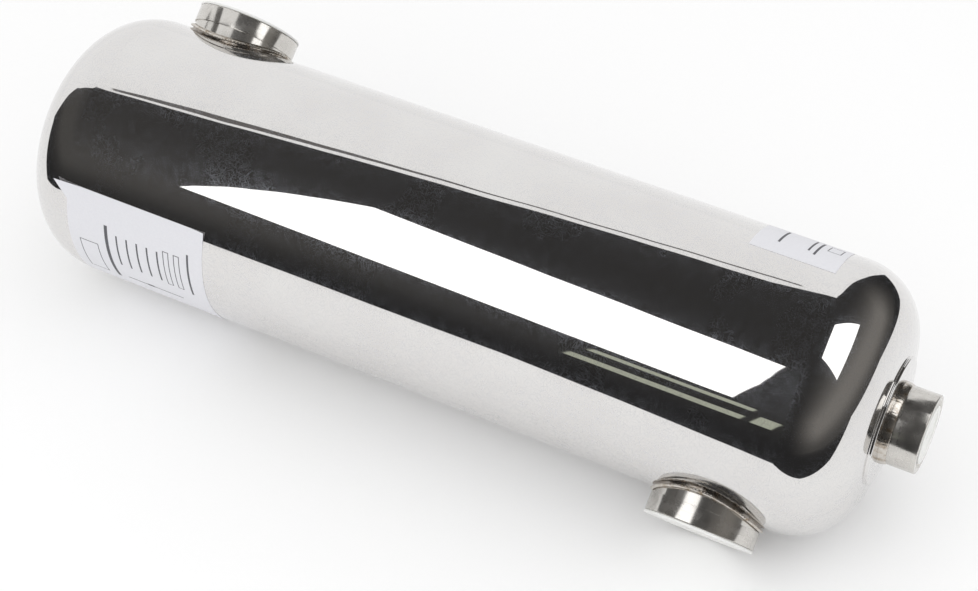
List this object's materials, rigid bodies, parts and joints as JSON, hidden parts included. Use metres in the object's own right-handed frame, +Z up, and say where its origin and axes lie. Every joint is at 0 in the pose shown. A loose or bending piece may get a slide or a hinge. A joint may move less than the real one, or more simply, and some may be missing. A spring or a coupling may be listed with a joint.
{
  "type": "shell and tube heat exchanger",
  "caption": "Polished stainless steel shell and tube heat exchanger with dished ends, pipe sockets on opposite sides and on both ends, each closed with a white push-in cap.",
  "frame": {"origin": "on the ground, under the middle of the whole length; the shell lies on its side", "axes": "+X along the shell axis, +Z up; the front side port points down towards -Y"},
  "size_m": [0.4932, 0.17, 0.14],
  "materials": {
    "polished_stainless": "mirror polished sheet, with fine hairlines",
    "turned_stainless": "turned and polished",
    "weld_stainless": "as welded, rippled",
    "inner_stainless": "mill finish",
    "cap_plastic": "moulded polyethylene"
  },
  "bodies": {
    "root": {"shell_barrel": "polished_stainless", "left_head": "polished_stainless", "right_head": "polished_stainless", "rear_side_port": "turned_stainless", "front_side_port": "turned_stainless", "left_end_port": "turned_stainless", "right_end_port": "turned_stainless", "rear_side_port_weld": "weld_stainless", "front_side_port_weld": "weld_stainless", "left_end_port_weld": "weld_stainless", "right_end_port_weld": "weld_stainless", "rear_side_port_cap": "cap_plastic", "front_side_port_cap": "cap_plastic", "left_end_port_cap": "cap_plastic", "right_end_port_cap": "cap_plastic", "tube_bundle": "inner_stainless", "left_tube_sheet": "inner_stainless", "right_tube_sheet": "inner_stainless", "left_baffle": "inner_stainless", "left_inner_baffle": "inner_stainless", "right_inner_baffle": "inner_stainless", "right_baffle": "inner_stainless"}
  },
  "joints": []
}
